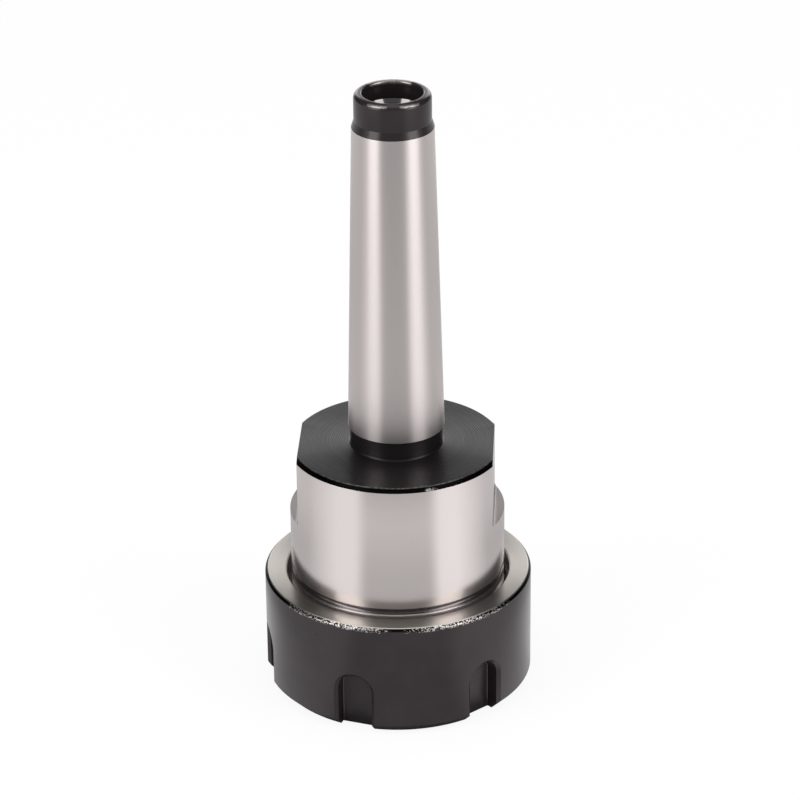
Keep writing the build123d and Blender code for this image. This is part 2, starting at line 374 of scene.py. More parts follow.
class Finish:
    """A material or world under construction, with its coordinates ready to use."""

    def __init__(self, name, world=None):
        self.material = world or bpy.data.materials.new(name)
        self.material.use_nodes = True
        self.tree = self.material.node_tree
        self.tree.nodes.clear()
        self.world = world
        self.place = self.add("TexCoord", {}, {}, "Generated" if world else "Object")
        parts = self.add("SeparateXYZ", {}, {0: self.place}).socket.node
        self.x, self.y, self.z = (Signal(self, parts.outputs[axis]) for axis in "XYZ")
        self.radius = (self.x * self.x + self.y * self.y).math("SQRT")

    def add(self, kind, settings, inputs, output=0):
        """Adds a node, sets it up, then gives its sockets their values or links."""
        node = self.tree.nodes.new("ShaderNode" + kind)
        for name, value in settings.items():
            setattr(node, name, value)
        for name, value in inputs.items():
            if isinstance(value, Signal):
                self.tree.links.new(value.socket, node.inputs[name])
            else:
                node.inputs[name].default_value = value
        return Signal(self, node.outputs[output])

    def noise(self, place, scale, detail=3.0, roughness=0.55):
        """Noise from 0 to 1 at a place."""
        return self.add("TexNoise", {}, {"Vector": place, "Scale": scale, "Detail": detail,
                                         "Roughness": roughness})

    def stretched(self, x, y, z):
        """The object's coordinates, multiplied along each axis."""
        return self.add("Mapping", {}, {"Vector": self.place, "Scale": (x, y, z)})

    def rings(self, width):
        """Coordinates whose noise makes rings in the radius, for faces square to the axis."""
        inputs = {"X": self.radius * (1 / width), "Y": self.z * (1 / width)}
        return self.add("CombineXYZ", {}, inputs)

    def seen_and_mirrored(self):
        """1 for what the camera sees, straight or through glass, and 1 for what metal mirrors."""
        rays = self.add("LightPath", {}, {}).socket.node
        straight, through, mirrored = (Signal(self, rays.outputs[f"Is {kind} Ray"])
                                       for kind in ("Camera", "Transmission", "Glossy"))
        return straight.most(through), mirrored

    def blend(self, share, first, second):
        """A colour between two colours."""
        return self.add("Mix", {"data_type": "RGBA"}, {0: share, 6: first, 7: second}, 2)

    def surface(self, **sockets):
        """The closing Principled shader, from socket names written with low lines."""
        inputs = {name.replace("_", " "): value for name, value in sockets.items()}
        return self.close(self.add("BsdfPrincipled", {}, inputs))

    def close(self, shader):
        """Links a shader to the material's output and hands the material over."""
        kind = "World" if self.world else "Material"
        output = self.tree.nodes.new("ShaderNodeOutput" + kind)
        self.tree.links.new(shader.socket, output.inputs["Surface"])
        return self.material


def opaque(rgb):
    """A colour with its alpha."""
    return (*rgb, 1.0)


def shade(rgb, factor):
    """A colour made lighter or darker."""
    return (*(min(part * factor, 1.0) for part in rgb), 1.0)


def toned(rgb, factor):
    """A finish's colour at a share of its strength."""
    return [part * factor for part in rgb]


def ground_round(name, rgb, line_width, roughness, spread, tint=0.02, relief=0.12):
    """Cylindrically ground steel: hair lines run round the axis and spread light along it."""
    finish = Finish(name)
    lines = finish.noise(finish.stretched(6, 6, 1 / line_width), 1.0, detail=4.0)
    bands = finish.noise(finish.stretched(6, 6, 350), 1.0, detail=2.0)
    cloud = finish.noise(finish.place, 160.0, detail=4.0)
    pits = finish.noise(finish.place, 1500.0, detail=3.0)
    tone = finish.blend(lines.step(0.3, 0.7), shade(rgb, 1 - tint), shade(rgb, 1 + tint))
    tone = finish.blend(cloud.step(0.62, 0.85) * 0.15, tone, shade(rgb, 0.8))
    tone = finish.blend(pits.step(0.66, 0.74) * 0.25, tone, shade(rgb, 0.7))
    rough = roughness + (lines - 0.5) * (relief * 0.4) + (bands - 0.5) * (relief * 0.35)
    bump = finish.add("Bump", {}, {"Strength": relief, "Distance": 0.002 * MM, "Height": lines})
    return finish.surface(Base_Color=tone, Metallic=1.0, Roughness=rough, Anisotropic=spread,
                          Anisotropic_Rotation=0.25, Normal=bump)


def ground_face(name, rgb, line_width, roughness, spread=0.8):
    """Steel faced flat: fine rings round the axis spread light along the radius."""
    finish = Finish(name)
    lines = finish.noise(finish.rings(line_width), 1.0, detail=3.0)
    cloud = finish.noise(finish.place, 220.0, detail=4.0)
    tone = finish.blend(lines.step(0.3, 0.7), shade(rgb, 0.96), shade(rgb, 1.03))
    tone = finish.blend(cloud.step(0.60, 0.82) * 0.3, tone, shade(rgb, 0.7))
    bump = finish.add("Bump", {}, {"Strength": 0.15, "Distance": 0.002 * MM, "Height": lines})
    return finish.surface(Base_Color=tone, Metallic=1.0, Roughness=roughness + (lines - 0.5) * 0.06,
                          Anisotropic=spread, Anisotropic_Rotation=0.25, Normal=bump)


def blackened(name, colours, level, wear_and_light=None, rings=None, roughness=0.30, spread=0.0):
    """Black oxide over turned steel, bright where the mask of rubbed wear and painted highlight is
    high, and near black where the painted shade mask is high.
    """
    finish = Finish(name)
    rgb = toned(colours.black, level)
    grain = finish.noise(finish.place, 2600.0, detail=4.0)
    cloud = finish.noise(finish.place, 130.0, detail=3.0)
    tone = finish.blend(cloud.step(0.35, 0.75), opaque(rgb), shade(rgb, 1.25))
    height = grain * 0.5
    if rings:
        turned = (finish.radius * (2 * math.pi / rings)).math("SINE") * 0.5 + 0.5
        uneven = finish.noise(finish.rings(rings * 2.5), 1.0, detail=3.0)
        height = height + turned * uneven.step(0.35, 0.60) * 24 + uneven * 8
    bump = finish.add("Bump", {}, {"Strength": 0.3, "Distance": 0.003 * MM, "Height": height})
    metal = 0.55
    rough = roughness + (cloud - 0.5) * 0.10 + (grain - 0.5) * 0.06
    if wear_and_light:
        wear_and_highlight, painted_shade = wear_and_light(finish)
        # The second mask is painted shade, laid on in near black
        if painted_shade:
            tone = finish.blend(painted_shade, tone, opaque(PAINTED_SHADE_BLACK))
        # The first mask paints bare steel, for rubbed wear and for painted highlights
        tone = finish.blend(wear_and_highlight, tone, opaque(colours.wear_and_highlight))
        metal = (wear_and_highlight.most(painted_shade) if painted_shade else wear_and_highlight) * (1 - metal) + metal
    return finish.surface(Base_Color=tone, Metallic=metal, Roughness=rough, Anisotropic=spread,
                          Anisotropic_Rotation=0.25, Normal=bump)


def sector(finish, degrees, width):
    """1 in one direction round the axis, falling to 0 at width degrees from it. 0 degrees is -Y."""
    turn = math.radians(degrees)
    along = finish.x * math.sin(turn) - finish.y * math.cos(turn)
    edge = math.cos(math.radians(width))
    return (along / finish.radius.most(0.1 * MM)).step(edge, (1 + edge) / 2)


def spigot_wear_and_highlights(arbor):
    """Bright patches on the spigot's rim: painted highlights at the front left and front right,
    where the soft boxes shine on it, and rubbed wear at the back.
    """
    def mask(finish):
        patches = finish.noise(finish.place, 1500.0, detail=5.0, roughness=0.7)
        outer = finish.z.step(arbor.end - 0.75 * MM, arbor.end - 0.45 * MM)
        rim = outer * (1 - finish.z.step(arbor.end - 0.30 * MM, arbor.end - 0.12 * MM))
        # Painted highlights: the left and right sectors lie where the soft boxes' highlights fall on
        # the rim
        left = sector(finish, -22.0, 20.0)
        right = sector(finish, 30.0, 20.0)
        # Rubbed wear: a patch at the back and a nick
        back = sector(finish, -158.0, 34.0)
        nick = sector(finish, 160.0, 18.0)
        share = (left.most(right) * rim).most(back.most(nick) * outer * 0.9)
        return (patches * 1.5 * share).step(0.34, 0.62) * 0.48, None
    return mask


def collar_chips_highlight_and_shade(arbor):
    """Small chips knocked into the rim of the collar face, a painted highlight along the face's edge
    and painted shade over the rim chamfer.
    """
    def mask(finish):
        chips = finish.noise(finish.place, 1100.0, detail=4.0, roughness=0.7)
        rim = finish.radius.step(arbor.body_radius - 0.5 * MM, arbor.body_radius - 0.2 * MM)
        knock = sector(finish, 21.5, 4.5)
        start = arbor.body_radius - arbor.rim_chamfer
        # Painted shade: the rim chamfer is painted near black
        dark = finish.radius.step(start + 0.08 * MM, start + 0.16 * MM)
        # Painted highlight: a thin bright line along the face's edge, just inside the chamfer
        edge = finish.radius.step(start - 0.14 * MM, start - 0.04 * MM) * (1 - dark)
        chip = (chips * 0.8 + knock * 0.30).step(0.68, 0.78) * rim * knock.step(0.05, 0.3) * 0.6
        return chip.most(edge * chips.step(0.35, 0.6) * 0.18), dark
    return mask


def rim_speckles_highlight_and_shade(nut):
    """Bright speckles of wear along the nut's rear edge, thickest at the front left and front right,
    with a painted highlight along the top edge and painted shade over the chamfer.
    """
    def mask(finish):
        specks = finish.noise(finish.place, 3800.0, detail=1.0, roughness=0.5)
        patches = finish.noise(finish.place, 350.0, detail=3.0)
        chamfer = nut.height - nut.rim_chamfer
        height = finish.z.step(chamfer - 0.4 * MM, chamfer)
        left = sector(finish, -27.0, 27.0)
        right = sector(finish, 32.0, 28.0)
        share = left.most(right)
        # Painted shade: the chamfer is painted unevenly near black
        line = finish.z.step(chamfer - 0.1 * MM, chamfer + 0.1 * MM)
        dark = (patches + specks * 0.5).step(0.50, 0.80) * 0.3 + 0.70
        speckles = (specks * 0.9 + share * 0.12 + patches * 0.10 + height * 0.05).step(0.698, 0.708)
        speckles = speckles * height.step(0.0, 0.2) * share.step(0.0, 0.3)
        # Painted highlight: a thin bright line along the top edge
        edge = finish.z.step(nut.height - 0.15 * MM, nut.height - 0.10 * MM)
        return speckles.most(edge), line * dark * (1 - edge)
    return mask


class CHUCK_OT_arbor(bpy.types.Operator):
    """Turns the arbor, from the drawbar bore round its outside to the collet's socket"""
    bl_idname = "chuck.arbor"
    bl_label = "Arbor"

    def execute(self, context):
        sizes = context.scene.chuck_arbor
        threads = context.scene.chuck_thread
        piece = turn_piece("arbor_turned", self.outline(context), 256, closed=False)
        for side in (-1, 1):
            cut_away(piece, self.flat_cutter(sizes, side))
        colours = context.scene.chuck_colours
        finishes = {
            "taper": ground_round("Ground taper", colours.ground, 0.08 * MM, 0.32, 0.85,
                                  tint=0.008, relief=0.04),
            "body": ground_round("Ground body", colours.ground, 0.16 * MM, 0.20, 0.5),
            "spigot": blackened("Black spigot", colours, 1, spigot_wear_and_highlights(sizes), roughness=0.22),
            "collar": blackened("Black collar", colours, 0.4, collar_chips_highlight_and_shade(sizes), rings=0.42 * MM,
                                roughness=0.34, spread=0.7),
            "nose": ground_face("Turned nose", colours.ground, 0.2 * MM, 0.34),
            # Painted shade: a darker copy of the ground steel on the groove under the body, the top
            # of the land below it and the rounding at the top of the foot chamfer
            "foot": ground_round("Foot land", toned(colours.ground, 0.45), 0.1 * MM, 0.20, 0.3),
            "cone": ground_round("Bore cone", toned(colours.ground, 0.34), 0.1 * MM, 0.12, 0.0),
            "ledge": ground_face("Milled ledge", toned(colours.ground, 0.30), 0.2 * MM, 0.30),
        }
        head = sizes.end - sizes.spigot_length + 0.22 * MM
        cone = sizes.end - sizes.mouth_depth
        foot_top = sizes.body_foot + sizes.foot_chamfer
        foot = sizes.collar + sizes.neck_length
        ledge = sizes.collar - sizes.flat_length
        land_edge = sizes.body_foot - sizes.groove_width - 0.15 * MM
        land = sizes.body_foot - sizes.groove_width - sizes.land_length
        bore = self.spigot_radius(sizes) - sizes.mouth_wall + 0.05 * MM
        rim = sizes.collar - sizes.rim_chamfer
        side = sizes.body_radius - 0.1 * MM

        def zone(centre, normal):
            radius = centre.xy.length
            if radius < bore - 0.1 * MM and cone - 2.2 * MM < centre.z < cone and normal.z > 0.3:
                return "cone"
            if centre.z > head or (centre.z > foot and radius < bore):
                return "spigot"
            if centre.z > foot and radius > bore:
                return "taper"
            if centre.z > rim and not (normal.xy.length > 0.9 and centre.z < sizes.collar):
                return "collar"
            # Painted shade on the rounding at the foot chamfer's top
            if abs(centre.z - foot_top) < 0.05 * MM:
                return "foot"
            if abs(centre.z - ledge) < 0.4 * MM and normal.z > 0.4:
                return "ledge"
            if centre.z > sizes.body_foot and radius > side - sizes.flat_depth:
                return "body"
            if centre.z > land_edge and radius > side - sizes.foot_groove:
                return "foot"
            return "taper" if centre.z > land and radius > side - 0.2 * MM else "nose"

        finish_piece(piece, "body", "arbor", finishes, zone)
        nose = self.thread_core(context)
        crest = nose + thread_depth(threads)
        ridge = thread_ridge("nose_thread", nose, crest, sizes.nose, land, threads)
        finish_piece(ridge, "body", None, {"nose": finishes["nose"]})
        crest = self.spigot_radius(sizes) - sizes.mouth_wall - sizes.bore_shoulder
        high = sizes.end - sizes.mouth_depth - sizes.bore_shoulder / math.tan(BORE_CONE)
        ridge = thread_ridge("drawbar_thread", threads.drawbar_radius, crest,
                             sizes.end - threads.drawbar_length, high, threads)
        finish_piece(ridge, "body", None, {"spigot": finishes["spigot"]})
        return {"FINISHED"}

    def thread_core(self, context):
        threads = context.scene.chuck_thread
        return context.scene.chuck_arbor.body_radius - thread_depth(threads) - threads.play

    def taper(self, sizes, height):
        """The taper's radius at a height."""
        return sizes.gauge_radius - (height - gauge_plane) / TAPER_RATE / 2

    def spigot_radius(self, sizes):
        return self.taper(sizes, sizes.end - sizes.spigot_length) - sizes.spigot_step

    def outline(self, context):
        """Radius and height of each corner, with its rounding, from pole to pole."""
        sizes = context.scene.chuck_arbor
        threads = context.scene.chuck_thread
        collet = context.scene.chuck_collet
        head = sizes.end - sizes.spigot_length
        foot = sizes.collar + sizes.neck_length
        spigot = self.spigot_radius(sizes)
        mouth = spigot - sizes.mouth_wall
        bore = mouth - sizes.bore_shoulder
        bore_floor = sizes.end - sizes.bore_depth
        cone_top = sizes.end - sizes.mouth_depth
        cone_end = cone_top - sizes.bore_shoulder / math.tan(BORE_CONE)
        tapped = sizes.end - threads.drawbar_length
        outside = threads.drawbar_radius + 0.02 * MM
        neck = self.taper(sizes, foot) - sizes.neck_depth
        core = self.thread_core(context)
        land = sizes.body_radius - sizes.land_step
        land_end = sizes.body_foot - sizes.groove_width
        land_begin = land_end - sizes.land_length
        groove = sizes.body_radius - sizes.foot_groove
        slope = math.tan(collet.taper)
        gap = collet.seat_gap / math.cos(collet.taper)
        shoulder = groove_start(collet) + collet.groove_width
        rear = collet.shoulder - (sizes.socket_floor - shoulder) * slope + gap
        point = math.tan(DRILL_POINT)
        corners = [
            (0, bore_floor - bore / point, 0),
            (bore, bore_floor, 0),
            (bore, tapped - 0.5 * MM, 0),
            (outside, tapped, 0),
            (outside, cone_end + (outside - bore) / math.tan(BORE_CONE), 0),
            (mouth, cone_top, 0.15 * MM),
            (mouth, sizes.end, 0.35 * MM),
            (spigot, sizes.end, sizes.rim_radius),
            (spigot, head + sizes.spigot_chamfer, 0.3 * MM),
            (self.taper(sizes, head), head, 0.12 * MM),
            (self.taper(sizes, foot), foot, 0.12 * MM),
            (neck, foot, 0.05 * MM),
            (neck, sizes.collar, 0.4 * MM),
            (sizes.body_radius - sizes.rim_chamfer, sizes.collar, 0.12 * MM),
            (sizes.body_radius, sizes.collar - sizes.rim_chamfer, 0.12 * MM),
            (sizes.body_radius, sizes.body_foot + sizes.foot_chamfer, BROKEN_EDGE),
            (sizes.body_radius - sizes.foot_chamfer, sizes.body_foot, 0.08 * MM),
            (groove, sizes.body_foot, 0.08 * MM),
            (groove, land_end, 0.08 * MM),
            (land - 0.2 * MM, land_end, 0.05 * MM),
            (land, land_end - 0.2 * MM, 0.05 * MM),
            (land, land_begin, BROKEN_EDGE),
            (core, land_begin - (land - core), BROKEN_EDGE),
            (core, sizes.nose + 1.2 * MM, BROKEN_EDGE),
            (core - 1.2 * MM, sizes.nose, BROKEN_EDGE),
            (sizes.socket_mouth + 0.4 * MM, sizes.nose, 0.08 * MM),
            (sizes.socket_mouth - 0.4 * MM * slope, sizes.nose + 0.4 * MM, 0.08 * MM),
            (rear, sizes.socket_floor, 0.2 * MM),
            (0, sizes.socket_floor + rear / point, 0),
        ]
        return rounded(corners)

    def flat_cutter(self, sizes, side):
        """A milling cut for one flat: its inner corner carries the cutter's small radius."""
        start_clean()
        wide = 2 * sizes.body_radius
        inner = sizes.body_radius - sizes.flat_depth
        middle = side * (inner + wide / 2)
        bpy.ops.mesh.primitive_cube_add(size=1, location=(middle, 0, sizes.collar))
        cutter = bpy.context.object
        cutter.scale = (wide, wide, 2 * sizes.flat_length)
        apply_place(cutter, "flat_cutter")
        low = sizes.collar - sizes.flat_length + 0.01 * MM

        def at_corner(edge):
            ends = edge_points(cutter, edge)
            return all(abs(abs(end.x) - inner) < 0.01 * MM and end.z < low for end in ends)

        select_parts(cutter, "EDGE", at_corner)
        bpy.ops.mesh.bevel(offset=0.4 * MM, segments=4)
        bpy.ops.object.mode_set(mode="OBJECT")
        return cutter


def thread_depth(threads):
    """Depth of a metric thread of this pitch."""
    return 0.6134 * threads.pitch


def thread_ridge(name, root, crest, low, high, threads, phase=0.0):
    """A helical ridge from a root radius to a crest radius, fading out at both ends.

    The phase is in turns. The ridge starts a turn early, and what lies past its ends is removed."""
    start_clean()
    depth = abs(crest - root)
    outward = 1 if crest > root else -1
    flank = depth * math.tan(THREAD_FLANK)
    flat = threads.pitch / 8
    bury = root - outward * 0.04 * MM
    bpy.ops.mesh.primitive_plane_add(size=2, location=(0, 0, 0))
    piece = bpy.context.object
    foot = flat / 2 + flank
    corners = [(bury, -foot), (bury, foot), (crest, -flat / 2), (crest, flat / 2)]
    start = low + (phase % 1.0 - 1) * threads.pitch
    for vertex, (radius, height) in zip(piece.data.vertices, corners):
        vertex.co = (radius, 0, start + height)
    piece.name = name
    piece.data.name = name
    turns = math.ceil((high - low) / threads.pitch) + 2
    modifier = piece.modifiers.new("Helix", "SCREW")
    modifier.screw_offset = threads.pitch
    modifier.iterations = turns
    modifier.steps = 96
    modifier.render_steps = 96
    modifier.use_merge_vertices = False
    bpy.ops.object.modifier_apply(modifier=modifier.name)
    outside = {vertex.index for vertex in piece.data.vertices if not low < vertex.co.z < high}
    for vertex in piece.data.vertices:
        radius = vertex.co.xy.length
        room = min(vertex.co.z - low, high - vertex.co.z)
        allowed = max(min(abs(radius - bury), room), 0.0)
        if allowed < abs(radius - bury):
            vertex.co.xy *= (bury + outward * allowed) / radius
        vertex.co.z = min(max(vertex.co.z, low), high)
    select_parts(piece, "FACE", lambda face: outside.issuperset(face.vertices))
    bpy.ops.mesh.delete(type="FACE")
    face_outwards()
    # The faded ends can turn a whole ridge inside out, which its volume shows
    if sum(face.area * face.normal.dot(face.center) for face in piece.data.polygons) < 0:
        piece.data.flip_normals()
    return piece


def groove_start(collet):
    """Height at which the collet's extraction groove starts."""
    return collet.front + collet.cone_length + collet.land_length


class CHUCK_OT_nut(bpy.types.Operator):
    """Turns the clamping nut, bores its eccentric rib and mills its spanner slots"""
    bl_idname = "chuck.nut"
    bl_label = "Clamping nut"

    def execute(self, context):
        sizes = context.scene.chuck_nut
        threads = context.scene.chuck_thread
        collet = context.scene.chuck_collet
        piece = turn_piece("clamping_nut_turned", self.outline(context), 256, closed=True)
        cut_away(piece, self.rib_cutter(context))
        cut_away(piece, round_copies(self.slot_cutter(sizes), sizes.slots, -sizes.slot_turn))
        colours = context.scene.chuck_colours
        finishes = {
            "side": blackened("Black nut", colours, 1, rim_speckles_highlight_and_shade(sizes)),
            "rear": ground_face("Faced nut", colours.faced, 0.12 * MM, 0.30),
            "seat": ground_face("Ground seat", colours.ground, 0.15 * MM, 0.25),
            # Painted highlight: a lighter, glossier black along the slot floors' corners, for the
            # light that their concave rounding catches
            "slot corner": blackened("Slot corner", colours, 2.2, roughness=0.22),
            "mouth": ground_round("Bored mouth", toned(colours.ground, 0.6), 0.1 * MM, 0.30, 0.3),
        }
        mouth = context.scene.chuck_arbor.body_radius + sizes.mouth_clearance
        rib = groove_start(collet)

        def zone(centre, normal):
            inside = centre.xy.length < mouth + 0.3 * MM
            if centre.z > sizes.height - 0.12 * MM and normal.z > 0.75:
                return "rear"
            if inside and normal.z > 0.3 and centre.z > sizes.height - 0.4 * MM:
                return "rear"
            if inside and centre.z > sizes.height - sizes.mouth_depth - 0.1 * MM:
                return "mouth"
            if centre.xy.length < collet.shoulder and sizes.seat_chamfer < centre.z < rib:
                return "seat"
            # Painted highlight on the faces close to a slot floor's corner
            if centre.xy.length > mouth and self.slot_floor(sizes, centre) < 0.24 * MM:
                return "slot corner"
            return "side"

        finish_piece(piece, "nut", "clamping_nut", finishes, zone)
        outside = context.scene.chuck_arbor.body_radius + threads.play
        crest = outside - thread_depth(threads)
        low = self.thread_start(context)
        phase = 0.5 + (context.scene.chuck_arbor.nose - low) / threads.pitch % 1.0
        ridge = thread_ridge("nut_thread", outside, crest, low, sizes.height - sizes.mouth_depth,
                             threads, phase)
        finish_piece(ridge, "nut", None, {"side": finishes["side"]})
        return {"FINISHED"}

    def slot_floor(self, sizes, place):
        """How far a place on the nut's side lies above the floor of the nearest slot's corner."""
        pitch = 2 * math.pi / sizes.slots
        turn = math.atan2(place.x, -place.y) + sizes.slot_turn
        turn = turn - pitch * round(turn / pitch)
        above = place.xy.length * math.cos(turn) - (sizes.radius - sizes.slot_depth)
        return above if above > 0.01 * MM and abs(turn) < pitch / 4 else sizes.slot_depth

    def thread_start(self, context):
        """Height at which the nut's thread begins, above its run-out groove."""
        collet = context.scene.chuck_collet
        sizes = context.scene.chuck_nut
        rear_of_groove = groove_start(collet) + collet.groove_width
        return rear_of_groove - sizes.rib_gap + sizes.chamber + sizes.run_out

    def outline(self, context):
        """Radius and height of each corner, with its rounding, round the nut's section."""
        sizes = context.scene.chuck_nut
        collet = context.scene.chuck_collet
        threads = context.scene.chuck_thread
        body = context.scene.chuck_arbor.body_radius
        slope = math.tan(collet.cone)
        gap = collet.seat_gap / math.cos(collet.cone)
        land = collet.shoulder - collet.land_step
        land_start = collet.front + collet.cone_length
        opening = land - land_start * slope + gap
        chamfer = sizes.seat_chamfer
        inner = collet.shoulder - collet.groove_depth - 1.0 * MM
        rib_start = groove_start(collet) + sizes.rib_gap
        rib_end = groove_start(collet) + collet.groove_width - sizes.rib_gap
        chamber = collet.shoulder + sizes.groove_gap + sizes.rib_offset
        outside = body + threads.play
        relief = outside + 0.3 * MM
        start = self.thread_start(context)
        end = sizes.height - sizes.mouth_depth
        mouth = body + sizes.mouth_clearance
        corners = [
            (sizes.radius - sizes.front_chamfer, 0, 0.3 * MM),
            (sizes.radius, sizes.front_chamfer, 0.3 * MM),
            (sizes.radius, sizes.height - sizes.rim_chamfer, 0.15 * MM),
            (sizes.radius - sizes.rim_chamfer, sizes.height, 0.15 * MM),
            (mouth + 0.25 * MM, sizes.height, 0.06 * MM),
            (mouth, sizes.height - 0.25 * MM, 0.06 * MM),
            (mouth, end + mouth - outside, BROKEN_EDGE),
            (outside, end, BROKEN_EDGE),
            (outside, start + 0.3 * MM, 0),
            (relief, start, BROKEN_EDGE),
            (relief, start - sizes.run_out, BROKEN_EDGE),
            (chamber, start - sizes.run_out, BROKEN_EDGE),
            (chamber, rib_end, BROKEN_EDGE),
            (inner, rib_end, 0),
            (inner, rib_start, 0),
            (land + gap, rib_start, 0),
            (land + gap, land_start, BROKEN_EDGE),
            (opening + chamfer * slope, chamfer, BROKEN_EDGE),
            (opening + chamfer * slope + chamfer, 0, BROKEN_EDGE),
        ]
        return rounded(corners)

    def rib_cutter(self, context):
        """The boring cut, off the axis, that leaves the extraction rib."""
        sizes = context.scene.chuck_nut
        collet = context.scene.chuck_collet
        radius = collet.shoulder - collet.groove_depth + sizes.groove_gap + sizes.rib_offset
        rib_start = groove_start(collet) + sizes.rib_gap
        depth = collet.groove_width - 2 * sizes.rib_gap + sizes.chamber / 2
        start_clean()
        bpy.ops.mesh.primitive_cylinder_add(vertices=192, radius=radius, depth=depth,
                                            location=(sizes.rib_offset, 0, rib_start + depth / 2))
        cutter = bpy.context.object
        apply_place(cutter, "rib_cutter")
        return cutter

    def slot_cutter(self, sizes):
        """An arched milling cut at -Y whose mouth flares into a lip that follows the nut's side."""
        arch = sizes.slot_width / 2
        middle = sizes.slot_height - arch
        start_clean()
        bpy.ops.mesh.primitive_circle_add(vertices=48, radius=arch, fill_type="NGON",
                                          location=(0, 0, middle), rotation=(math.pi / 2, 0, 0))
        cutter = bpy.context.object
        apply_place(cutter, "slot_cutter")
        for vertex in cutter.data.vertices:
            vertex.co.y = sizes.slot_depth - sizes.radius
            if vertex.co.z < middle - 0.01 * MM:
                vertex.co.z -= sizes.slot_height
        flare = 1 + sizes.slot_lip / arch
        bpy.ops.object.mode_set(mode="EDIT")
        bpy.ops.mesh.select_all(action="SELECT")
        inset = 1 - sizes.slot_corner / arch
        bpy.ops.transform.resize(value=(inset, 1, inset), center_override=(0, 0, middle))
        rings = ((sizes.slot_depth - 0.3 * sizes.slot_corner, 1 / inset ** 0.7),
                 (sizes.slot_depth - sizes.slot_corner, 1 / inset ** 0.3),
                 (sizes.slot_lip, 1), (0, flare), (-2 * MM, 1))
        for depth, size in rings:
            bpy.ops.mesh.extrude_region()
            bpy.ops.transform.resize(value=(size, 1, size), center_override=(0, 0, middle))
            bpy.ops.transform.translate(value=(0, self.level(cutter, sizes, depth), 0))
        face_outwards()
        for vertex in cutter.data.vertices:
            depth = sizes.radius + vertex.co.y
            if depth < sizes.slot_depth - 0.1 * MM:
                vertex.co.y = -math.sqrt((sizes.radius - depth) ** 2 - vertex.co.x ** 2)
        return cutter

    def level(self, cutter, sizes, depth):
        """How far the selected ring moves along Y to lie at a depth below the nut's side."""
        cutter.update_from_editmode()
        ring = [vertex.co.y for vertex in cutter.data.vertices if vertex.select]
        return depth - sizes.radius - ring[0]


class CHUCK_OT_collet(bpy.types.Operator):
    """Turns and bores the spring collet, then saws its slits from both ends"""
    bl_idname = "chuck.collet"
    bl_label = "Spring collet"

    def execute(self, context):
        sizes = context.scene.chuck_collet
        piece = turn_piece("spring_collet_turned", self.outline(sizes), 192, closed=True)
        length_cut = sizes.rear - sizes.front - sizes.slit_web
        half_turn = math.pi / sizes.slits
        front = self.slit_cutter(sizes, sizes.front - MM, sizes.front + length_cut)
        cut_away(piece, round_copies(front, sizes.slits))
        rear = self.slit_cutter(sizes, sizes.rear - length_cut, sizes.rear + MM)
        cut_away(piece, round_copies(rear, sizes.slits, half_turn))
        colours = context.scene.chuck_colours
        finishes = {
            "side": ground_round("Ground collet", colours.ground, 0.12 * MM, 0.25, 0.5),
            "end": ground_face("Faced collet", colours.ground, 0.15 * MM, 0.28),
            "slit": ground_face("Sawn slit", toned(colours.ground, 0.55), 0.3 * MM, 0.45),
        }

        def zone(centre, normal):
            if abs(normal.z) > 0.9:
                return "end"
            across = abs(normal.x * centre.y - normal.y * centre.x) / max(centre.xy.length, MM)
            return "slit" if across > 0.6 else "side"

        finish_piece(piece, "collet", "spring_collet", finishes, zone)
        return {"FINISHED"}

    def outline(self, sizes):
        """Radius and height of each corner, with its rounding, round the collet's wall."""
        land = sizes.shoulder - sizes.land_step
        groove = sizes.shoulder - sizes.groove_depth
        land_start = sizes.front + sizes.cone_length
        land_end = groove_start(sizes)
        groove_end = land_end + sizes.groove_width
        slope = math.tan(sizes.taper)
        rear = sizes.shoulder - (sizes.rear - groove_end) * slope
        chamfer = sizes.chamfer
        corners = [
            (sizes.bore + chamfer, sizes.front, BROKEN_EDGE),
            (land - sizes.cone_length * math.tan(sizes.cone), sizes.front, 0.15 * MM),
            (land, land_start, BROKEN_EDGE),
            (land, land_end, BROKEN_EDGE),
            (groove, land_end, BROKEN_EDGE),
            (groove, groove_end, BROKEN_EDGE),
            (sizes.shoulder, groove_end, 0.15 * MM),
            (rear + sizes.rear_chamfer * slope, sizes.rear - sizes.rear_chamfer, 0.15 * MM),
            (rear - sizes.rear_chamfer, sizes.rear, 0.15 * MM),
            (sizes.bore + chamfer, sizes.rear, BROKEN_EDGE),
            (sizes.bore, sizes.rear - chamfer, BROKEN_EDGE),
            (sizes.bore, sizes.front + chamfer, BROKEN_EDGE),
        ]
        return rounded(corners, steps=3)

    def slit_cutter(self, sizes, low, high):
        """A saw blade from the axis out past the collet's side."""
        start_clean()
        reach = 2 * sizes.shoulder
        bpy.ops.mesh.primitive_cube_add(size=1, location=(reach / 2, 0, (low + high) / 2))
        cutter = bpy.context.object
        cutter.scale = (reach, sizes.slit_width, high - low)
        apply_place(cutter, "slit_cutter")
        return cutter


PLAIN_AIR = 0.6
# Painted light in the floor's glow that only the metal mirrors, in bands of painted reflection with
# a painted shadow under the nut: from one radius to another its brightness changes by so much
MIRRORED_BEHIND = (
    (0.045, 0.060, -0.75), (0.070, 0.100, 0.17), (0.110, 0.230, -0.18), (0.242, 0.260, 0.26),
)
MIRRORED_IN_FRONT = ((0.075, 0.110, 0.25), (0.120, 0.145, -0.39), (0.160, 0.190, 0.06))
MIRRORED_AT_THE_SIDES = ((0.140, 0.280, -0.28),)
MIRRORED_SHADOW_UNDER_THE_NUT = ((0.0238, 0.0262, 0.92),)


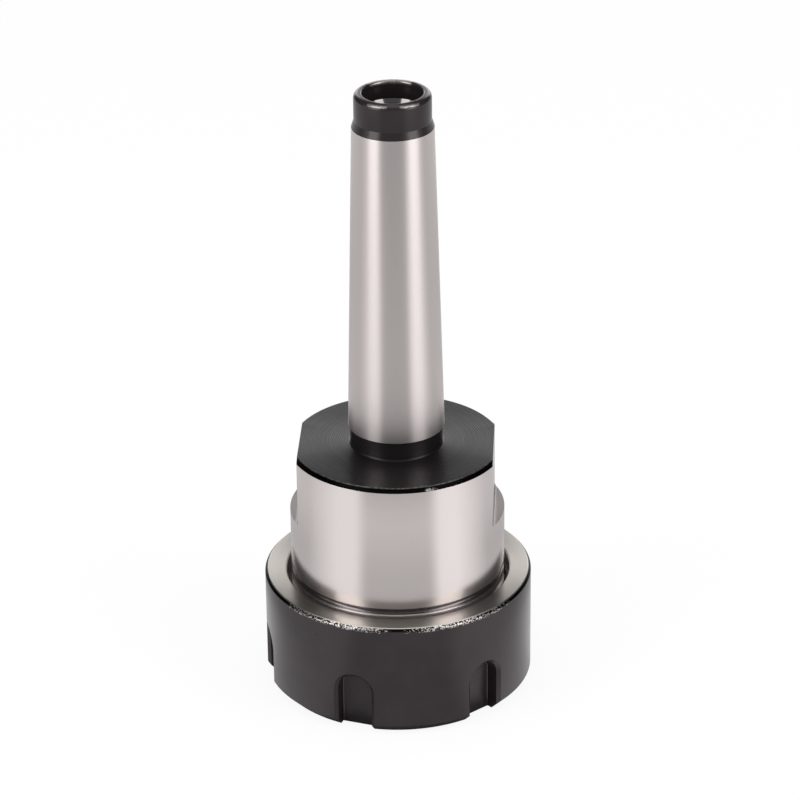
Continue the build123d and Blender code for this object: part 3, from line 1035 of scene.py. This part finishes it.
class CHUCK_OT_studio(bpy.types.Operator):
    """Lays the floor, hangs the soft lights and sets the camera at the photograph's angle"""
    bl_idname = "chuck.studio"
    bl_label = "Studio"

    def execute(self, context):
        self.lay_floor(context)
        self.light_world(context)
        self.soft_box("soft_box_left", -52.0, 27.0, 0.75, (0.38, 0.74), 2.0)
        self.soft_box("soft_box_right", 60.0, 27.0, 0.75, (0.38, 0.74), 1.95)
        self.set_camera(context)
        context.scene.view_settings.view_transform = "Standard"
        return {"FINISHED"}

    def lay_floor(self, context):
        """A round pale floor that reads white to the camera and keeps a soft shadow; for the metal's
        reflections it glows in painted bands of light, with a painted shadow under the nut.
        """
        start_clean()
        bpy.ops.mesh.primitive_circle_add(vertices=96, radius=4.0, fill_type="NGON")
        floor = bpy.context.object
        floor.name = "floor"
        colours = context.scene.chuck_colours
        finish = Finish("Pale floor")
        lit = finish.add("BsdfDiffuse", {}, {"Color": opaque(colours.backdrop)})
        seen, mirrored = finish.seen_and_mirrored()
        across = finish.x / finish.radius
        ahead = 0 - finish.y / finish.radius + across * 0.05
        sides = ahead.step(-0.15, 0.50) * (1 - ahead.step(0.76, 0.87))
        behind = finish.radius.stepped(1.22, MIRRORED_BEHIND)
        front = finish.radius.stepped(0.50, MIRRORED_IN_FRONT)
        level = behind + (front - behind) * ahead.step(-0.3, 0.6)
        bright = finish.radius.stepped(across * 0.05 + 0.97, MIRRORED_AT_THE_SIDES)
        level = level + (bright - level) * sides
        # Painted shadow: under the nut, the glow that the metal mirrors falls to a small share
        level = level * finish.radius.stepped(0.08, MIRRORED_SHADOW_UNDER_THE_NUT)
        strength = seen * 1.04 + mirrored * level
        glow = finish.add("Emission", {}, {"Color": opaque(WHITE), "Strength": strength})
        share = seen * 0.86 + mirrored * 0.92
        mixed = finish.add("MixShader", {}, {0: share, 1: lit, 2: glow})
        floor.data.materials.append(finish.close(mixed))

    def light_world(self, context):
        """White to the camera; for reflections, white sides with a dim front, back and ceiling."""
        world = bpy.data.worlds.new("Studio air")
        context.scene.world = world
        finish = Finish("Studio air", world)
        seen, mirrored = finish.seen_and_mirrored()
        level = finish.radius.most(0.001)
        ahead = 0 - finish.y / level
        wide = (finish.x / level + 0.035).math("ABSOLUTE")
        sides = ahead.step(-0.05, 0.25) * (1 - ahead.step(0.76, 0.87))
        sides = sides * (1 - finish.z.step(0.35, 0.55))
        backs = (wide.step(0.12, 0.22) * 0.5 + 0.5) * (0 - ahead).step(0.84, 0.92)
        backs = backs * (1 - finish.z.step(0.48, 0.56))
        overhead = finish.z.step(0.80, 0.90)
        room = ahead.stepped(0.05, ((-0.2, 0.6, 0.15),))
        room = room + (0.9 - room) * sides + (2.3 - room) * backs + (1.1 - room) * overhead
        strength = PLAIN_AIR + seen * (1 - PLAIN_AIR) + mirrored * (room - PLAIN_AIR)
        finish.close(finish.add("Background", {}, {"Color": opaque(WHITE), "Strength": strength}))

    def soft_box(self, name, azimuth, elevation, distance, size, power):
        """An area light that faces the chuck. Azimuth 0 is in front, positive to the right."""
        turn = math.radians(azimuth)
        rise = math.radians(elevation)
        aim = Vector((0, 0, 0.05))
        outward = Vector((math.sin(turn), -math.cos(turn), 0))
        back = outward * math.cos(rise) + Vector((0, 0, math.sin(rise)))
        light = bpy.data.lights.new(name, "AREA")
        light.shape = "RECTANGLE"
        light.size, light.size_y = size
        light.energy = power
        lamp = bpy.data.objects.new(name, light)
        lamp.location = aim + back * distance
        lamp.rotation_euler = back.to_track_quat("Z", "Y").to_euler()
        bpy.context.scene.collection.objects.link(lamp)

    def set_camera(self, context):
        """The camera at the photograph's place, worked out from the outlines of the turned rings."""
        picture_width = 800
        focal_pixels = 3631.06
        elevation = math.radians(26.072)
        azimuth = math.radians(2.9)
        roll = math.radians(-0.651)
        distance = 668.65 * MM
        sideways = 0.724 * MM
        height = 56.823 * MM
        right = Vector((math.cos(azimuth), math.sin(azimuth), 0))
        level = Vector((-math.sin(azimuth), math.cos(azimuth), 0))
        forward = level * math.cos(elevation) - Vector((0, 0, math.sin(elevation)))
        up = right.cross(forward)
        rolled_right = right * math.cos(roll) + up * math.sin(roll)
        rolled_up = up * math.cos(roll) - right * math.sin(roll)
        camera = bpy.data.cameras.new("camera")
        camera.sensor_width = 36.0
        camera.lens = focal_pixels / picture_width * camera.sensor_width
        camera.clip_start = 0.01
        camera.clip_end = 50
        eye = bpy.data.objects.new("camera", camera)
        turned = Matrix((rolled_right, rolled_up, -forward)).transposed().to_4x4()
        place = right * sideways + Vector((0, 0, height)) - forward * distance
        eye.matrix_world = Matrix.Translation(place) @ turned
        context.scene.collection.objects.link(eye)
        context.scene.camera = eye


class CHUCK_PT_pieces(bpy.types.Panel):
    """Lists the chuck's pieces and their sizes"""
    bl_idname = "CHUCK_PT_pieces"
    bl_label = "Collet Chuck"
    bl_space_type = "VIEW_3D"
    bl_region_type = "UI"
    bl_category = "Chuck"

    def draw(self, context):
        for operator, group in zip(OPERATORS, ("chuck_arbor", "chuck_nut", "chuck_collet",
                                               "chuck_colours")):
            box = self.layout.box()
            box.operator(operator.bl_idname)
            sizes = getattr(context.scene, group)
            for name in sizes.__annotations__:
                box.prop(sizes, name)


GROUPS = {
    "chuck_arbor": ChuckArborSizes,
    "chuck_nut": ChuckNutSizes,
    "chuck_collet": ChuckColletSizes,
    "chuck_thread": ChuckThreadSizes,
    "chuck_colours": ChuckFinishColours,
}
OPERATORS = (CHUCK_OT_arbor, CHUCK_OT_nut, CHUCK_OT_collet, CHUCK_OT_studio)


def register():
    for name, group in GROUPS.items():
        bpy.utils.register_class(group)
        setattr(bpy.types.Scene, name, PointerProperty(type=group))
    for operator in OPERATORS:
        bpy.utils.register_class(operator)
    bpy.utils.register_class(CHUCK_PT_pieces)


def unregister():
    bpy.utils.unregister_class(CHUCK_PT_pieces)
    for operator in reversed(OPERATORS):
        bpy.utils.unregister_class(operator)
    for name, group in GROUPS.items():
        delattr(bpy.types.Scene, name)
        bpy.utils.unregister_class(group)


def main():
    register()
    bpy.ops.chuck.collet()
    bpy.ops.chuck.arbor()
    bpy.ops.chuck.nut()
    bpy.ops.chuck.studio()


if __name__ == "__main__":
    main()
